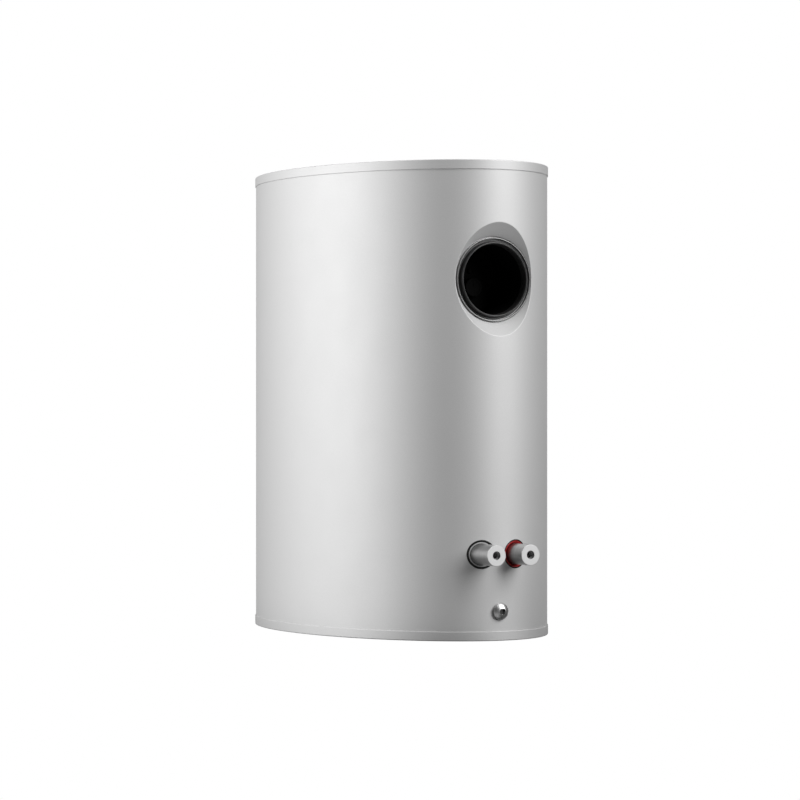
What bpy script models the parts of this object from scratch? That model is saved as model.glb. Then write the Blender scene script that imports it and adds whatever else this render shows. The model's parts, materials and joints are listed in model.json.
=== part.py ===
"""Oval electric storage water heater, built as an assembly of separate pieces.

Metres, +Z up. The origin is the centre of the base pan's underside. The connection end, with the round
port, the two pipe stubs and the drain screw, faces -Y, and the oval casing is longest along Y. Pieces
on an axis along Y are drawn in a local frame whose +Z points out of the casing, so a height h there is
the distance from the casing's middle towards that end.
"""

import math

import bmesh
import bpy
from mathutils import Matrix, Vector

# ---------------------------------------------------------------- driving dimensions
HEIGHT = 0.480
GAP = 0.0003

CASING_A = 0.2176  # half length of the oval, along Y
CASING_B = 0.1303  # half width, along X
CASING_SHEET = 0.0006
RIM_SHEET = 0.0006
RIM_TALL = 0.0094
RIM_ROUND = 0.0013
PAN_SHEET = 0.0008
OVAL_SEGMENTS = 64
PORT_SEGMENTS = 36
SMALL_SEGMENTS = 18

PORT_Z = 0.361
RECESS_FLOOR_H = 0.2042
RECESS_FLOOR_R = 0.0432
RECESS_SLOPE = 1.03  # radius gained per unit of depth
RECESS_WALL = 0.0021
RECESS_SHEET = 0.0020
PORT_HOLE_R = 0.0350
LIP_R = 0.0383
LIP_H = 0.2082
COLLAR_R = 0.0400
TRIM_R_IN = 0.0404
TRIM_R_OUT = 0.0422
SLEEVE_WALL = 0.0015
SLEEVE_H = (0.1140, 0.1987)

STUB_Z = 0.0863
STUB_X = 0.0194
STUB_R = 0.01048  # G1/2, 20.955 mm over the crests
STUB_H = (0.1080, 0.2452)
STUB_MOUTH_R = 0.0042
STUB_MOUTH_DEEP = 0.0032
STUB_BORE_R = 0.0033
GROMMET_R = 0.0144
COLD_GROMMET_R_IN = 0.0126
HOT_GROMMET_R_IN = 0.0136
RING_R_IN = 0.0108
GROMMET_BACK_H = 0.2060
RING_SINK = 0.0005

DRAIN_Z = 0.0294
DRAIN_HEAD_R = 0.0083
DRAIN_HEAD_TALL = 0.0045
DRAIN_SEAL_R = 0.0077
DRAIN_HOLE_R = 0.0056
DRAIN_SHANK_R = 0.0049
DRAIN_SHANK_LONG = 0.0180
DRAIN_SOCKET_AF = 0.0060
DRAIN_SOCKET_DEEP = 0.0028
DRAIN_SEAL_TALL = 0.0008
DRAIN_SEAL_H = 0.2179
DRAIN_PIPE_R = 0.0070
DRAIN_PIPE_BORE_R = 0.0056
DRAIN_PIPE_MOUTH_H = 0.2164
DRAIN_RISE_Y = -0.045  # where the drain pipe turns up into the tank

TANK_A = 0.143
TANK_B = 0.090
TANK_Y = 0.030
TANK_Z = (0.044, 0.440)
TANK_WALL = 0.002
TANK_ROUND = 0.025
TANK_SEGMENTS = 32
TANK_SEAM_Z = (0.0705, 0.4135)

SEAT_R = 0.0330
SEAT_BORE_R = 0.0210
SEAT_H = (0.0980, 0.1220)
FLANGE_R = 0.0315
FLANGE_THICK = 0.0040
GASKET_THICK = 0.0020
FLANGE_TOP_H = SEAT_H[1] + 2 * GAP + GASKET_THICK + FLANGE_THICK
BOLT_CIRCLE_R = 0.0260
BOLT_SHANK_R = 0.0024
BOLT_HEAD_AF = 0.0080
BOLT_HEAD_TALL = 0.0035
BOLT_LONG = 0.0175
BOLT_HOLE_H = 0.1085
SOCKET_R = 0.0140
SOCKET_BORE_R = 0.0108
SOCKET_H = (0.0990, 0.1260)

COVER_R = 0.0333
COVER_WALL = 0.0015
COVER_H = (0.1240, 0.1550)
KNOB_Z = 0.3545
KNOB_R = 0.0115
KNOB_TALL = 0.0090
SPINDLE_R = 0.0028
BUTTON_Z = 0.3715
BUTTON_R = 0.0028
BUTTON_H = (0.1410, 0.1575)
POST_AF = 0.0060
POST_X = 0.0240
POST_HOLE_H = 0.1380
COVER_SCREW_R = 0.0015
COVER_SCREW_LONG = 0.0120
COVER_SCREW_HEAD_R = 0.0032
COVER_SCREW_HEAD_TALL = 0.0018
BODY_H = (0.1295, 0.1465)
BODY_WIDE = 0.0270
BODY_Z = (0.3380, 0.3780)
BODY_HOLE_H = 0.1385
TERMINAL_WIDE = 0.0200
TERMINAL_H = (0.1360, 0.1460)
TERMINAL_TOP_Z = 0.3880
POCKET_Z = 0.349
POCKET_R = 0.0040
POCKET_BORE_R = 0.0032
POCKET_H = (0.0350, 0.1243)

INNER_PIPE_R = 0.0070
INNER_PIPE_WALL = 0.0010

ELEMENT_R = 0.0035
ELEMENT_X = 0.0085
ELEMENT_Z = 0.369
ELEMENT_Y = -0.084
ELEMENT_BEND = 0.014
ELEMENT_LOW_Z = 0.110

ANODE_X = 0.030
ANODE_Y = 0.070
ANODE_R = 0.0105
ANODE_Z = (0.130, 0.4360)
ANODE_SOCKET_R = 0.0160
ANODE_BORE_R = 0.0112
ANODE_SOCKET_Z = (0.4335, 0.4500)
ANODE_HEAD_AF = 0.0270
ANODE_HEAD_Z = (0.4503, 0.4590)

GLAND_Z = 0.060
GLAND_THREAD_R = 0.0098
GLAND_BORE_R = 0.0048
GLAND_AF = 0.0240
GLAND_BODY_TALL = 0.0050
GLAND_NUT_R = 0.0118
GLAND_NUT_TALL = 0.0150
GLAND_THREAD_END_Y = 0.2070
LOCKNUT_AF = 0.0270
LOCKNUT_Y = (0.2105, 0.2145)
CABLE_R = 0.0035
CABLE_BACK_Y = 0.1930
CABLE_TOP_Z = 0.459
CABLE_DOWN_Y = -0.1410
CABLE_END_Z = 0.3886
CABLE_HOLE_R = CABLE_R + 0.0008
CABLE_HOLE_Z = (0.3850, 0.4100)

OUT_H = 0.2600  # well outside the casing
WALL_H = 0.2000  # just inside the casing's end walls
CORE_H = 0.0500  # well inside the tank


# ---------------------------------------------------------------- scene, materials, collections
def clear_scene():
    for obj in list(bpy.data.objects):
        bpy.data.objects.remove(obj)


def new_collection(name):
    made = bpy.data.collections.new(name)
    bpy.context.scene.collection.children.link(made)
    return made


def material(name, colour, metallic, roughness):
    made = bpy.data.materials.new(name)
    made.use_nodes = True
    shader = made.node_tree.nodes["Principled BSDF"]
    shader.inputs["Base Color"].default_value = (*colour, 1.0)
    shader.inputs["Metallic"].default_value = metallic
    shader.inputs["Roughness"].default_value = roughness
    return made


clear_scene()
PARTS = new_collection("water_heater")
CUTTERS = new_collection("cutters")

SILVER_PAINT = material("silver_paint", (0.62, 0.62, 0.62), 0.6, 0.42)
ENAMEL_STEEL = material("enamelled_steel", (0.10, 0.14, 0.22), 0.3, 0.35)
FOAM = material("insulation_foam", (0.86, 0.84, 0.76), 0.0, 0.9)
POLISHED = material("polished_steel", (0.75, 0.75, 0.75), 1.0, 0.15)
STUB_METAL = material("stub_metal", (0.60, 0.60, 0.60), 0.9, 0.35)
BLACK_RUBBER = material("black_rubber", (0.02, 0.02, 0.02), 0.0, 0.6)
DARK_PLASTIC = material("dark_plastic", (0.05, 0.05, 0.05), 0.0, 0.3)
BLACK_PLASTIC = material("black_plastic", (0.004, 0.004, 0.004), 0.0, 0.6)
GREY_PLASTIC = material("grey_plastic", (0.35, 0.35, 0.35), 0.0, 0.4)
RED_PLASTIC = material("red_plastic", (0.35, 0.02, 0.02), 0.0, 0.4)
BRASS = material("brass", (0.60, 0.42, 0.16), 1.0, 0.35)
COPPER = material("copper", (0.60, 0.28, 0.16), 1.0, 0.35)
ZINC = material("zinc_plated", (0.55, 0.56, 0.57), 1.0, 0.35)
MAGNESIUM = material("magnesium", (0.50, 0.50, 0.50), 0.9, 0.6)


def shade(mesh):
    mesh.shade_smooth()
    mesh.set_sharp_from_angle(angle=math.radians(35))


def add_part(name, mesh, skin, matrix=None):
    """A sub-part of the heater, as its own object."""
    shade(mesh)
    obj = bpy.data.objects.new(name, mesh)
    PARTS.objects.link(obj)
    mesh.materials.append(skin)
    if matrix is not None:
        obj.matrix_world = matrix
    return obj


def as_cutter(obj):
    for home in list(obj.users_collection):
        home.objects.unlink(obj)
    CUTTERS.objects.link(obj)
    obj.hide_render = True
    obj.display_type = "WIRE"
    return obj


def add_cutter(name, mesh, matrix=None):
    obj = bpy.data.objects.new(name, mesh)
    if matrix is not None:
        obj.matrix_world = matrix
    return as_cutter(obj)


def boolean(obj, other, operation="DIFFERENCE"):
    modifier = obj.modifiers.new(other.name[:40], "BOOLEAN")
    modifier.operation = operation
    modifier.object = other


# ---------------------------------------------------------------- frames and basic solids
def front_frame(x, z):
    """Local +Z points out of the connection end, along -Y."""
    return Matrix.Translation((x, 0.0, z)) @ Matrix.Rotation(math.radians(90), 4, "X")


def rear_frame(x, z):
    """Local +Z points out of the far end, along +Y."""
    return Matrix.Translation((x, 0.0, z)) @ Matrix.Rotation(math.radians(-90), 4, "X")


def prism_mesh(name, radius_x, radius_y, low, high, segments):
    """Upright prism on an elliptic outline, from z = low to z = high."""
    mesh = bpy.data.meshes.new(name)
    work = bmesh.new()
    bmesh.ops.create_cone(
        work, cap_ends=True, segments=segments, radius1=1.0, radius2=1.0, depth=high - low
    )
    bmesh.ops.scale(work, vec=(radius_x, radius_y, 1.0), verts=work.verts)
    bmesh.ops.translate(work, vec=(0.0, 0.0, (low + high) / 2), verts=work.verts)
    work.to_mesh(mesh)
    work.free()
    return mesh


def oval_mesh(name, inset, low, high):
    """Prism on the casing's oval, drawn in by inset."""
    return prism_mesh(name, CASING_B - inset, CASING_A - inset, low, high, OVAL_SEGMENTS)


def tank_mesh(name, inset, low, high):
    mesh = prism_mesh(name, TANK_B - inset, TANK_A - inset, low, high, TANK_SEGMENTS)
    mesh.transform(Matrix.Translation((0.0, TANK_Y, 0.0)))
    return mesh


def box_mesh(name, low, high):
    mesh = bpy.data.meshes.new(name)
    work = bmesh.new()
    bmesh.ops.create_cube(work, size=1.0)
    size = Vector(high) - Vector(low)
    bmesh.ops.scale(work, vec=size, verts=work.verts)
    bmesh.ops.translate(work, vec=(Vector(high) + Vector(low)) / 2, verts=work.verts)
    work.to_mesh(mesh)
    work.free()
    return mesh


def profile_mesh(name, points, closed):
    """Edges through (radius, height) points, for a Screw modifier."""
    count = len(points)
    edges = [(i, (i + 1) % count) for i in range(count if closed else count - 1)]
    mesh = bpy.data.meshes.new(name)
    mesh.from_pydata([(r, 0.0, h) for r, h in points], edges, [])
    return mesh


def add_screw(obj, segments):
    modifier = obj.modifiers.new("turn", "SCREW")
    modifier.steps = segments
    modifier.render_steps = segments
    modifier.use_smooth_shade = True
    modifier.use_merge_vertices = True
    modifier.merge_threshold = 0.00002


def turned_part(name, points, frame, skin, segments=SMALL_SEGMENTS, closed=True):
    """A turned piece. Its profile runs down the outer side and back up the inner one."""
    obj = add_part(name, profile_mesh(name, points, closed), skin, frame)
    add_screw(obj, segments)
    return obj


def turned_cutter(name, points, frame, segments=SMALL_SEGMENTS):
    cutter = add_cutter(name, profile_mesh(name, points, False), frame)
    add_screw(cutter, segments)
    return cutter


def ring_points(r_in, r_out, low, high, chamfer=0.0):
    """Profile of a plain ring, with its outer corners chamfered."""
    if not chamfer:
        return [(r_out, high), (r_out, low), (r_in, low), (r_in, high)]
    return [
        (r_out - chamfer, high),
        (r_out, high - chamfer),
        (r_out, low + chamfer),
        (r_out - chamfer, low),
        (r_in, low),
        (r_in, high),
    ]


def disc_points(radius, low, high, chamfer=0.0):
    """Open profile of a solid disc or rod, from the axis at the top to the axis at the bottom."""
    if not chamfer:
        return [(0.0, high), (radius, high), (radius, low), (0.0, low)]
    return [(0.0, high), (radius - chamfer, high), (radius, high - chamfer), (radius, low), (0.0, low)]


def rod_cutter(name, frame, radius, low, high, segments=SMALL_SEGMENTS):
    """Cutting cylinder along a frame's +Z."""
    mesh = prism_mesh(name, radius, radius, low, high, segments)
    return add_cutter(name, mesh, frame)


def hex_cutter(name, frame, across_flats, low, high):
    mesh = prism_mesh(name, across_flats / math.sqrt(3), across_flats / math.sqrt(3), low, high, 6)
    return add_cutter(name, mesh, frame)


def hex_part(name, frame, across_flats, low, high, skin):
    corner = across_flats / math.sqrt(3)
    return add_part(name, prism_mesh(name, corner, corner, low, high, 6), skin, frame)


def bevel(obj, width, segments):
    modifier = obj.modifiers.new("round", "BEVEL")
    modifier.width = width
    modifier.segments = segments
    modifier.limit_method = "ANGLE"
    modifier.angle_limit = math.radians(35)


def bevel_at_height(obj, edge_z, width, segments):
    """Rounds only the outline at that height."""
    mesh = obj.data
    weights = mesh.attributes.new("bevel_weight_edge", "FLOAT", "EDGE")
    for edge in mesh.edges:
        at_height = all(abs(mesh.vertices[i].co.z - edge_z) < 1e-6 for i in edge.vertices)
        weights.data[edge.index].value = float(at_height)
    bevel(obj, width, segments)
    obj.modifiers["round"].limit_method = "WEIGHT"


# ---------------------------------------------------------------- tubes along a route
def rounded_route(corners, radius, steps):
    """Points along straight legs with a round bend of that radius at each inner corner."""
    corners = [Vector(c) for c in corners]
    points = [corners[0]]
    for before, corner, after in zip(corners, corners[1:], corners[2:]):
        back = (before - corner).normalized()
        on = (after - corner).normalized()
        half = back.angle(on) / 2
        run = radius / math.tan(half)
        centre = corner + (back + on).normalized() * (radius / math.sin(half))
        start = corner + back * run - centre
        end = corner + on * run - centre
        for i in range(steps + 1):
            points.append(centre + start.slerp(end, i / steps).normalized() * radius)
    points.append(corners[-1])
    return points


def tube_object(name, points, radius, resolution=2, caps=True):
    curve = bpy.data.curves.new(name, "CURVE")
    curve.dimensions = "3D"
    curve.bevel_depth = radius
    curve.bevel_resolution = resolution
    curve.use_fill_caps = caps
    spline = curve.splines.new("POLY")
    spline.points.add(len(points) - 1)
    for knot, point in zip(spline.points, points):
        knot.co = (*point, 1.0)
    obj = bpy.data.objects.new(name, curve)
    PARTS.objects.link(obj)
    return obj


def tube_as_mesh(obj):
    """The curve's surface as a mesh object of the same name, with its caps welded."""
    bpy.context.view_layer.update()
    graph = bpy.context.evaluated_depsgraph_get()
    mesh = bpy.data.meshes.new_from_object(obj.evaluated_get(graph))
    work = bmesh.new()
    work.from_mesh(mesh)
    bmesh.ops.remove_doubles(work, verts=work.verts, dist=0.00002)
    work.to_mesh(mesh)
    work.free()
    name, matrix = obj.name, obj.matrix_world.copy()
    bpy.data.objects.remove(obj)
    made = bpy.data.objects.new(name, mesh)
    made.matrix_world = matrix
    PARTS.objects.link(made)
    return made


def hollow_tube(name, points, radius, wall, skin):
    """A pipe along a route, open at both ends."""
    obj = tube_as_mesh(tube_object(name, points, radius, resolution=4, caps=False))
    obj.data.materials.append(skin)
    shade(obj.data)
    modifier = obj.modifiers.new("wall", "SOLIDIFY")
    modifier.thickness = wall
    modifier.offset = -1.0
    modifier.use_even_offset = True
    return obj


def tube_cutter(name, points, radius):
    return as_cutter(tube_as_mesh(tube_object(name, points, radius)))


PORT = front_frame(0.0, PORT_Z)
COLD = front_frame(-STUB_X, STUB_Z)
HOT = front_frame(STUB_X, STUB_Z)
DRAIN = front_frame(0.0, DRAIN_Z)
GLAND = rear_frame(0.0, GLAND_Z)
POCKET = front_frame(0.0, POCKET_Z)
KNOB = front_frame(0.0, KNOB_Z)
BUTTON = front_frame(0.0, BUTTON_Z)
ANODE = Matrix.Translation((ANODE_X, ANODE_Y, 0.0))
CABLE_ENTRY = Matrix.Translation((0.0, CABLE_DOWN_Y, 0.0))


# ---------------------------------------------------------------- routes shared by pipes and their channels
def drain_route(start_h):
    corner = (0.0, DRAIN_RISE_Y, DRAIN_Z)
    end = (0.0, DRAIN_RISE_Y, TANK_Z[0] + 0.003)
    return rounded_route([(0.0, -start_h, DRAIN_Z), corner, end], 0.012, 5)


def cable_route():
    """From the gland up the far end, over the tank and down into the head cover."""
    corners = [
        (0.0, 0.2040, GLAND_Z),
        (0.0, CABLE_BACK_Y, GLAND_Z),
        (0.0, CABLE_BACK_Y, CABLE_TOP_Z),
        (0.0, CABLE_DOWN_Y, CABLE_TOP_Z),
        (0.0, CABLE_DOWN_Y, CABLE_END_Z),
    ]
    return rounded_route(corners, 0.0105, 5)


# ---------------------------------------------------------------- casing
def recess_radius(h):
    return RECESS_FLOOR_R + (h - RECESS_FLOOR_H) * RECESS_SLOPE


def recess_cutter():
    """Frustum whose side is the recess's face, past the casing at both ends."""
    low, high = RECESS_FLOOR_H - 0.0100, OUT_H
    points = [(0.0, high), (recess_radius(high), high), (recess_radius(low), low), (0.0, low)]
    return turned_cutter("cut_recess", points, PORT, PORT_SEGMENTS)


def make_casing():
    """Thin oval jacket, open at the top and the bottom, with its holes."""
    low, high = PAN_SHEET + GAP, HEIGHT - PAN_SHEET - GAP
    casing = add_part("casing_wrap", oval_mesh("casing_wrap", 0.0, low, high), SILVER_PAINT)
    hollow = oval_mesh("cut_casing_inside", CASING_SHEET, -0.01, HEIGHT + 0.01)
    boolean(casing, add_cutter("cut_casing_inside", hollow))
    boolean(casing, recess_cutter())
    for name, frame in (("cold", COLD), ("hot", HOT)):
        boolean(casing, rod_cutter(f"cut_casing_{name}", frame, GROMMET_R + GAP, WALL_H, OUT_H))
    boolean(casing, rod_cutter("cut_casing_drain", DRAIN, DRAIN_HOLE_R, WALL_H, OUT_H))
    boolean(casing, rod_cutter("cut_casing_gland", GLAND, GLAND_THREAD_R + 0.0004, WALL_H, OUT_H))


def make_cap(name, low, high, flat_z, hollow):
    """Flat oval cap with a rim that laps over the casing. Only its edge at flat_z is rounded."""
    cap = add_part(name, oval_mesh(name, -GAP - RIM_SHEET, low, high), SILVER_PAINT)
    bevel_at_height(cap, flat_z, RIM_ROUND, 2)
    boolean(cap, add_cutter(f"cut_{name}", oval_mesh(f"cut_{name}", -GAP, *hollow)))


def make_caps():
    rim_z = HEIGHT - RIM_TALL
    make_cap("top_lid", rim_z, HEIGHT, HEIGHT, (rim_z - 0.01, HEIGHT - PAN_SHEET))
    make_cap("base_pan", 0.0, RIM_TALL, 0.0, (PAN_SHEET, RIM_TALL + 0.01))


# ---------------------------------------------------------------- port: recess, trim, collar, sleeve
def make_recess():
    """Conical dish behind the casing's opening, trimmed to the casing's inner face."""
    high = RECESS_FLOOR_H + 0.0170
    back = RECESS_FLOOR_H - RECESS_SHEET
    points = [
        (recess_radius(high) + RECESS_WALL, high),
        (recess_radius(back) + RECESS_WALL, back),
        (COLLAR_R + GAP, back),
        (COLLAR_R + GAP, RECESS_FLOOR_H),
        (RECESS_FLOOR_R, RECESS_FLOOR_H),
        (recess_radius(high), high),
    ]
    dish = turned_part("recess_dish", points, PORT, SILVER_PAINT, PORT_SEGMENTS)
    inside = add_cutter("keep_recess", oval_mesh("keep_recess", CASING_SHEET + GAP, 0.0, HEIGHT))
    boolean(dish, inside, "INTERSECT")


def arc_points(centre_r, centre_h, radius, start, stop, steps):
    """Points on an arc, with angles in degrees from the +radius direction."""
    made = []
    for i in range(steps + 1):
        angle = math.radians(start + (stop - start) * i / steps)
        made.append((centre_r + radius * math.cos(angle), centre_h + radius * math.sin(angle)))
    return made


def make_port_rings():
    base = RECESS_FLOOR_H + GAP
    trim = arc_points((TRIM_R_IN + TRIM_R_OUT) / 2, base + 0.0003, 0.0009, 180, 0, 4)
    trim += [(TRIM_R_OUT, base), (TRIM_R_IN, base)]
    turned_part("trim_ring", trim, PORT, POLISHED, PORT_SEGMENTS)

    lip_round = (LIP_R - PORT_HOLE_R) / 2
    lip = arc_points(PORT_HOLE_R + lip_round, LIP_H - lip_round, lip_round, 180, 0, 4)
    groove, flange_back, tail = RECESS_FLOOR_H - 0.0006, RECESS_FLOOR_H - 0.0034, SLEEVE_H[1] + GAP
    body = [
        (LIP_R, groove),
        (COLLAR_R, groove),
        (COLLAR_R, flange_back),
        (LIP_R, flange_back),
        (LIP_R, tail),
        (PORT_HOLE_R, tail),
    ]
    turned_part("port_collar", lip + body, PORT, DARK_PLASTIC, PORT_SEGMENTS)


def make_sleeve():
    low, high = SLEEVE_H
    points = ring_points(PORT_HOLE_R, PORT_HOLE_R + SLEEVE_WALL, low, high)
    sleeve = turned_part("well_sleeve", points, PORT, BLACK_PLASTIC, PORT_SEGMENTS)
    entry = rod_cutter("cut_sleeve_cable", CABLE_ENTRY, CABLE_HOLE_R, *CABLE_HOLE_Z, 16)
    boolean(sleeve, entry)


# ---------------------------------------------------------------- pipe stubs
def make_stub(name, frame):
    """Thick-walled stub, with a wider mouth at its face."""
    tail, face = STUB_H
    step = face - STUB_MOUTH_DEEP
    edge = 0.0003
    points = [
        (STUB_R - edge, face),
        (STUB_R, face - edge),
        (STUB_R, tail),
        (STUB_BORE_R, tail),
        (STUB_BORE_R, step),
        (STUB_MOUTH_R, step),
        (STUB_MOUTH_R, face),
    ]
    turned_part(name, points, frame, STUB_METAL, 28)


def make_stub_seals():
    """Rubber grommets flush in the casing's holes, and the coloured rings inside them."""
    proud = add_cutter("keep_grommet", oval_mesh("keep_grommet", -GAP, 0.0, HEIGHT))
    sunk = add_cutter("keep_ring", oval_mesh("keep_ring", RING_SINK, 0.0, HEIGHT))
    sets = (
        ("cold", COLD, COLD_GROMMET_R_IN, GREY_PLASTIC),
        ("hot", HOT, HOT_GROMMET_R_IN, RED_PLASTIC),
    )
    for name, frame, r_in, colour in sets:
        outer = ring_points(r_in, GROMMET_R, GROMMET_BACK_H, OUT_H)
        boolean(turned_part(f"{name}_grommet", outer, frame, BLACK_RUBBER, 28), proud, "INTERSECT")
        inner = ring_points(RING_R_IN, r_in - GAP, GROMMET_BACK_H, OUT_H)
        boolean(turned_part(f"{name}_ring", inner, frame, colour, 28), sunk, "INTERSECT")


# ---------------------------------------------------------------- drain
def make_drain():
    seal_top = DRAIN_SEAL_H + DRAIN_SEAL_TALL
    seal = ring_points(DRAIN_SHANK_R + GAP, DRAIN_SEAL_R, DRAIN_SEAL_H, seal_top, 0.0003)
    turned_part("drain_seal", seal, DRAIN, BLACK_RUBBER)

    base = seal_top + GAP
    rim, flat = 0.0012, 0.0042
    crown = [
        (flat + (DRAIN_HEAD_R - flat) * math.sin(t), base + rim + (DRAIN_HEAD_TALL - rim) * math.cos(t))
        for t in (math.radians(90) * i / 4 for i in range(5))
    ]
    tip = base - DRAIN_SHANK_LONG
    points = [(0.0, base + DRAIN_HEAD_TALL), *crown, (DRAIN_HEAD_R, base), (DRAIN_SHANK_R, base)]
    points += [(DRAIN_SHANK_R, tip + 0.001), (DRAIN_SHANK_R - 0.001, tip), (0.0, tip)]
    screw = turned_part("drain_screw", points, DRAIN, POLISHED, closed=False)
    floor = base + DRAIN_HEAD_TALL - DRAIN_SOCKET_DEEP
    boolean(screw, hex_cutter("cut_drain_socket", DRAIN, DRAIN_SOCKET_AF, floor, OUT_H))

    wall = DRAIN_PIPE_R - DRAIN_PIPE_BORE_R
    hollow_tube("drain_pipe", drain_route(DRAIN_PIPE_MOUTH_H), DRAIN_PIPE_R, wall, ZINC)


# ---------------------------------------------------------------- inner tank
def make_tank():
    """Enamelled vessel of three welded pieces, split at its seams."""
    low, high = TANK_Z
    inside = add_cutter(
        "cut_tank_inside", tank_mesh("cut_tank_inside", TANK_WALL, low + TANK_WALL, high - TANK_WALL)
    )
    bevel(inside, TANK_ROUND - TANK_WALL, 2)
    seam_low, seam_high = TANK_SEAM_Z
    pieces = (
        ("tank_bottom_end", 0.0, seam_low - GAP),
        ("tank_shell", seam_low, seam_high),
        ("tank_top_end", seam_high + GAP, HEIGHT),
    )
    for name, start, stop in pieces:
        piece = add_part(name, tank_mesh(name, 0.0, low, high), ENAMEL_STEEL)
        bevel(piece, TANK_ROUND, 2)
        slab = box_mesh(f"keep_{name}", (-0.2, -0.3, start), (0.2, 0.3, stop))
        boolean(piece, add_cutter(f"keep_{name}", slab), "INTERSECT")
        boolean(piece, inside)
    shell = bpy.data.objects["tank_shell"]
    boolean(shell, rod_cutter("cut_tank_seat", PORT, SEAT_R + GAP, CORE_H, OUT_H, 28))
    for name, frame in (("cold", COLD), ("hot", HOT)):
        boolean(shell, rod_cutter(f"cut_tank_{name}", frame, SOCKET_R + GAP, CORE_H, OUT_H))
    drain_hole = Matrix.Translation((0.0, DRAIN_RISE_Y, 0.0))
    middle = sum(TANK_Z) / 2
    drain_hole = rod_cutter("cut_tank_drain", drain_hole, DRAIN_PIPE_R + GAP, 0.0, middle)
    boolean(bpy.data.objects["tank_bottom_end"], drain_hole)
    anode_hole = rod_cutter("cut_tank_anode", ANODE, ANODE_SOCKET_R + GAP, middle, HEIGHT)
    boolean(bpy.data.objects["tank_top_end"], anode_hole)


def make_sockets():
    seat = turned_part("heater_seat", ring_points(SEAT_BORE_R, SEAT_R, *SEAT_H), PORT, ZINC, 28)
    for name, frame in (("cold_socket", COLD), ("hot_socket", HOT)):
        turned_part(name, ring_points(SOCKET_BORE_R, SOCKET_R, *SOCKET_H), frame, ZINC)
    for i, frame in enumerate(bolt_frames(), 1):
        boolean(seat, rod_cutter(f"cut_seat_bolt_{i}", frame, BOLT_SHANK_R + GAP, BOLT_HOLE_H, OUT_H, 12))


def make_anode():
    socket = ring_points(ANODE_BORE_R, ANODE_SOCKET_R, *ANODE_SOCKET_Z)
    turned_part("anode_socket", socket, ANODE, ZINC)
    head = hex_part("anode_plug", ANODE, ANODE_HEAD_AF, *ANODE_HEAD_Z, BRASS)
    low, high = ANODE_Z[1] + GAP, ANODE_HEAD_Z[0] + 0.002
    boolean(head, rod_cutter("join_anode_plug", ANODE, ANODE_BORE_R - 0.0004, low, high), "UNION")
    rod = disc_points(ANODE_R, *ANODE_Z, 0.001)
    turned_part("anode_rod", rod, ANODE, MAGNESIUM, closed=False)


# ---------------------------------------------------------------- heater flange and what it carries
def bolt_frames():
    """The port's frame moved to each of the four flange bolts."""
    reach = BOLT_CIRCLE_R / math.sqrt(2)
    places = ((reach, reach), (-reach, reach), (-reach, -reach), (reach, -reach))
    return [PORT @ Matrix.Translation((x, y, 0.0)) for x, y in places]


def make_flange():
    low = SEAT_H[1] + GAP
    gasket = ring_points(SEAT_BORE_R, FLANGE_R, low, low + GASKET_THICK)
    gasket = turned_part("heater_gasket", gasket, PORT, BLACK_RUBBER, 28)
    disc = disc_points(FLANGE_R, FLANGE_TOP_H - FLANGE_THICK, FLANGE_TOP_H)
    flange = turned_part("heater_flange", disc, PORT, ZINC, 28, closed=False)
    boolean(flange, rod_cutter("cut_flange_pocket", POCKET, POCKET_BORE_R, CORE_H, OUT_H, 20))
    for i, frame in enumerate(bolt_frames(), 1):
        hole = rod_cutter(f"cut_flange_bolt_{i}", frame, BOLT_SHANK_R + GAP, CORE_H, OUT_H, 12)
        boolean(flange, hole)
        boolean(gasket, hole)
        under = FLANGE_TOP_H + GAP
        bolt = hex_part(f"flange_bolt_{i}", frame, BOLT_HEAD_AF, under, under + BOLT_HEAD_TALL, ZINC)
        shank = rod_cutter(f"join_bolt_{i}", frame, BOLT_SHANK_R, under - BOLT_LONG, under + 0.001, 12)
        boolean(bolt, shank, "UNION")


def make_element():
    """Hairpin heating tube: two legs go in through the seat, bend down and join near the bottom."""
    start_y = GAP - (FLANGE_TOP_H - FLANGE_THICK)
    legs = []
    for x in (-ELEMENT_X, ELEMENT_X):
        corner = (x, ELEMENT_Y, ELEMENT_Z)
        ends = (x, start_y, ELEMENT_Z), (x, ELEMENT_Y, ELEMENT_LOW_Z)
        legs.append(rounded_route([ends[0], corner, ends[1]], ELEMENT_BEND, 5))
    turn = [
        Vector((-ELEMENT_X * math.cos(t), ELEMENT_Y, ELEMENT_LOW_Z - ELEMENT_X * math.sin(t)))
        for t in (math.pi * i / 8 for i in range(1, 8))
    ]
    tube = tube_object("heating_element", legs[0] + turn + legs[1][::-1], ELEMENT_R)
    tube.data.materials.append(COPPER)


def make_sensor():
    """Thin-walled pocket, closed inside the tank, and the thermostat's bulb in it."""
    low, high = POCKET_H
    points = [
        (0.0, low + 0.001),
        (POCKET_BORE_R, low + 0.001),
        (POCKET_BORE_R, high),
        (POCKET_R, high),
        (POCKET_R, low),
        (0.0, low),
    ]
    turned_part("sensor_pocket", points, POCKET, COPPER, 20, closed=False)
    bulb = disc_points(0.0025, low + 0.006, BODY_H[0] - GAP)
    turned_part("sensor_bulb", bulb, POCKET, BRASS, 16, closed=False)


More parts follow.
